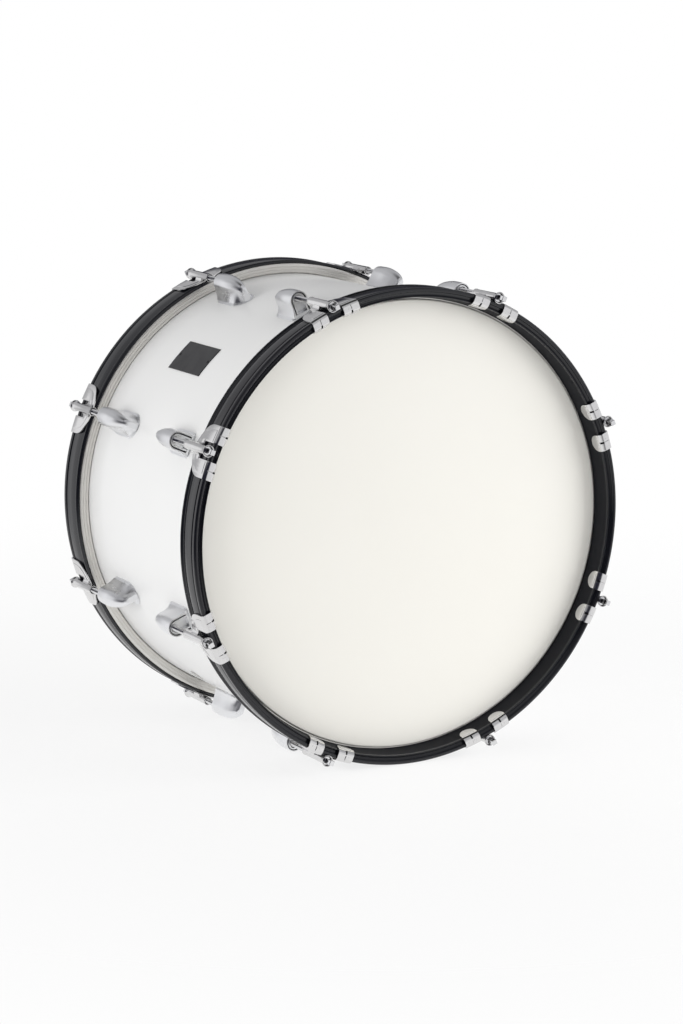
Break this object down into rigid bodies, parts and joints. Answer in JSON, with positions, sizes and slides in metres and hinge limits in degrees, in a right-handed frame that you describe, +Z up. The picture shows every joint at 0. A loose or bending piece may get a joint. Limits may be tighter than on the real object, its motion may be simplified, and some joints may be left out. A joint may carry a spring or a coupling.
{
  "type": "marching bass drum",
  "caption": "Marching bass drum: wooden shell, two tensioned heads in flesh hoops, black counter hoops, double claws, tension rods, lugs, badge plate and air vent.",
  "frame": {"origin": "centre of the shell, on the drum's axis midway between the heads", "axes": "+Y along the drum's axis from the front head to the rear head, +Z up, +X to the right seen from the front"},
  "size_m": [0.5388, 0.375, 0.5388],
  "materials": {
    "shell_lacquer": "white high-gloss lacquer over plywood",
    "hoop_black": "black high gloss",
    "head_film": "smooth cream film, satin",
    "flesh_hoop_metal": "finely ribbed, satin",
    "lug_metal": "die-cast, satin grey silver",
    "claw_metal": "satin wings and bright hooks",
    "rod_chrome": "bright chrome",
    "badge": "dark grey satin, bare",
    "vent_metal": "polished eyelet"
  },
  "bodies": {
    "shell_body": {"shell": "shell_lacquer", "badge_plate": "badge", "air_vent": "vent_metal", "front_lug_1": "lug_metal", "front_lug_2": "lug_metal", "front_lug_3": "lug_metal", "front_lug_4": "lug_metal", "front_lug_5": "lug_metal", "front_lug_6": "lug_metal", "front_lug_7": "lug_metal", "front_lug_8": "lug_metal", "rear_lug_1": "lug_metal", "rear_lug_2": "lug_metal", "rear_lug_3": "lug_metal", "rear_lug_4": "lug_metal", "rear_lug_5": "lug_metal", "rear_lug_6": "lug_metal", "rear_lug_7": "lug_metal", "rear_lug_8": "lug_metal"},
    "front_hoop_assembly": {"front_hoop": "hoop_black", "front_head": "head_film", "front_flesh_hoop": "flesh_hoop_metal", "front_claw_1": "claw_metal", "front_claw_2": "claw_metal", "front_claw_3": "claw_metal", "front_claw_4": "claw_metal", "front_claw_5": "claw_metal", "front_claw_6": "claw_metal", "front_claw_7": "claw_metal", "front_claw_8": "claw_metal"},
    "rear_hoop_assembly": {"rear_hoop": "hoop_black", "rear_head": "head_film", "rear_flesh_hoop": "flesh_hoop_metal", "rear_claw_1": "claw_metal", "rear_claw_2": "claw_metal", "rear_claw_3": "claw_metal", "rear_claw_4": "claw_metal", "rear_claw_5": "claw_metal", "rear_claw_6": "claw_metal", "rear_claw_7": "claw_metal", "rear_claw_8": "claw_metal"},
    "front_rod_1": {"front_tension_rod_1": "rod_chrome"},
    "front_rod_2": {"front_tension_rod_2": "rod_chrome"},
    "front_rod_3": {"front_tension_rod_3": "rod_chrome"},
    "front_rod_4": {"front_tension_rod_4": "rod_chrome"},
    "front_rod_5": {"front_tension_rod_5": "rod_chrome"},
    "front_rod_6": {"front_tension_rod_6": "rod_chrome"},
    "front_rod_7": {"front_tension_rod_7": "rod_chrome"},
    "front_rod_8": {"front_tension_rod_8": "rod_chrome"},
    "rear_rod_1": {"rear_tension_rod_1": "rod_chrome"},
    "rear_rod_2": {"rear_tension_rod_2": "rod_chrome"},
    "rear_rod_3": {"rear_tension_rod_3": "rod_chrome"},
    "rear_rod_4": {"rear_tension_rod_4": "rod_chrome"},
    "rear_rod_5": {"rear_tension_rod_5": "rod_chrome"},
    "rear_rod_6": {"rear_tension_rod_6": "rod_chrome"},
    "rear_rod_7": {"rear_tension_rod_7": "rod_chrome"},
    "rear_rod_8": {"rear_tension_rod_8": "rod_chrome"}
  },
  "joints": [
    {"name": "front_head_tuning", "type": "slide", "parent": "shell_body", "child": "front_hoop_assembly", "axis": [0, -1, 0], "range_m": [0, 0.012]},
    {"name": "front_rod_1_turn", "type": "hinge", "parent": "front_hoop_assembly", "child": "front_rod_1", "pos_m": [0.25656, -0.15, 0.10627], "axis": [0, -1, 0], "range_deg": [0, 4320]},
    {"name": "front_rod_2_turn", "type": "hinge", "parent": "front_hoop_assembly", "child": "front_rod_2", "pos_m": [0.10627, -0.15, 0.25656], "axis": [0, -1, 0], "range_deg": [0, 4320]},
    {"name": "front_rod_3_turn", "type": "hinge", "parent": "front_hoop_assembly", "child": "front_rod_3", "pos_m": [-0.10627, -0.15, 0.25656], "axis": [0, -1, 0], "range_deg": [0, 4320]},
    {"name": "front_rod_4_turn", "type": "hinge", "parent": "front_hoop_assembly", "child": "front_rod_4", "pos_m": [-0.25656, -0.15, 0.10627], "axis": [0, -1, 0], "range_deg": [0, 4320]},
    {"name": "front_rod_5_turn", "type": "hinge", "parent": "front_hoop_assembly", "child": "front_rod_5", "pos_m": [-0.25656, -0.15, -0.10627], "axis": [0, -1, 0], "range_deg": [0, 4320]},
    {"name": "front_rod_6_turn", "type": "hinge", "parent": "front_hoop_assembly", "child": "front_rod_6", "pos_m": [-0.10627, -0.15, -0.25656], "axis": [0, -1, 0], "range_deg": [0, 4320]},
    {"name": "front_rod_7_turn", "type": "hinge", "parent": "front_hoop_assembly", "child": "front_rod_7", "pos_m": [0.10627, -0.15, -0.25656], "axis": [0, -1, 0], "range_deg": [0, 4320]},
    {"name": "front_rod_8_turn", "type": "hinge", "parent": "front_hoop_assembly", "child": "front_rod_8", "pos_m": [0.25656, -0.15, -0.10627], "axis": [0, -1, 0], "range_deg": [0, 4320]},
    {"name": "rear_head_tuning", "type": "slide", "parent": "shell_body", "child": "rear_hoop_assembly", "axis": [0, 1, 0], "range_m": [0, 0.012]},
    {"name": "rear_rod_1_turn", "type": "hinge", "parent": "rear_hoop_assembly", "child": "rear_rod_1", "pos_m": [-0.25656, 0.15, 0.10627], "axis": [0, 1, 0], "range_deg": [0, 4320]},
    {"name": "rear_rod_2_turn", "type": "hinge", "parent": "rear_hoop_assembly", "child": "rear_rod_2", "pos_m": [-0.10627, 0.15, 0.25656], "axis": [0, 1, 0], "range_deg": [0, 4320]},
    {"name": "rear_rod_3_turn", "type": "hinge", "parent": "rear_hoop_assembly", "child": "rear_rod_3", "pos_m": [0.10627, 0.15, 0.25656], "axis": [0, 1, 0], "range_deg": [0, 4320]},
    {"name": "rear_rod_4_turn", "type": "hinge", "parent": "rear_hoop_assembly", "child": "rear_rod_4", "pos_m": [0.25656, 0.15, 0.10627], "axis": [0, 1, 0], "range_deg": [0, 4320]},
    {"name": "rear_rod_5_turn", "type": "hinge", "parent": "rear_hoop_assembly", "child": "rear_rod_5", "pos_m": [0.25656, 0.15, -0.10627], "axis": [0, 1, 0], "range_deg": [0, 4320]},
    {"name": "rear_rod_6_turn", "type": "hinge", "parent": "rear_hoop_assembly", "child": "rear_rod_6", "pos_m": [0.10627, 0.15, -0.25656], "axis": [0, 1, 0], "range_deg": [0, 4320]},
    {"name": "rear_rod_7_turn", "type": "hinge", "parent": "rear_hoop_assembly", "child": "rear_rod_7", "pos_m": [-0.10627, 0.15, -0.25656], "axis": [0, 1, 0], "range_deg": [0, 4320]},
    {"name": "rear_rod_8_turn", "type": "hinge", "parent": "rear_hoop_assembly", "child": "rear_rod_8", "pos_m": [-0.25656, 0.15, -0.10627], "axis": [0, 1, 0], "range_deg": [0, 4320]}
  ],
  "couplings": [
    {"joint": "front_rod_1_turn", "follows": "front_head_tuning", "rad_per_m": 6283.2},
    {"joint": "front_rod_2_turn", "follows": "front_head_tuning", "rad_per_m": 6283.2},
    {"joint": "front_rod_3_turn", "follows": "front_head_tuning", "rad_per_m": 6283.2},
    {"joint": "front_rod_4_turn", "follows": "front_head_tuning", "rad_per_m": 6283.2},
    {"joint": "front_rod_5_turn", "follows": "front_head_tuning", "rad_per_m": 6283.2},
    {"joint": "front_rod_6_turn", "follows": "front_head_tuning", "rad_per_m": 6283.2},
    {"joint": "front_rod_7_turn", "follows": "front_head_tuning", "rad_per_m": 6283.2},
    {"joint": "front_rod_8_turn", "follows": "front_head_tuning", "rad_per_m": 6283.2},
    {"joint": "rear_rod_1_turn", "follows": "rear_head_tuning", "rad_per_m": 6283.2},
    {"joint": "rear_rod_2_turn", "follows": "rear_head_tuning", "rad_per_m": 6283.2},
    {"joint": "rear_rod_3_turn", "follows": "rear_head_tuning", "rad_per_m": 6283.2},
    {"joint": "rear_rod_4_turn", "follows": "rear_head_tuning", "rad_per_m": 6283.2},
    {"joint": "rear_rod_5_turn", "follows": "rear_head_tuning", "rad_per_m": 6283.2},
    {"joint": "rear_rod_6_turn", "follows": "rear_head_tuning", "rad_per_m": 6283.2},
    {"joint": "rear_rod_7_turn", "follows": "rear_head_tuning", "rad_per_m": 6283.2},
    {"joint": "rear_rod_8_turn", "follows": "rear_head_tuning", "rad_per_m": 6283.2}
  ]
}
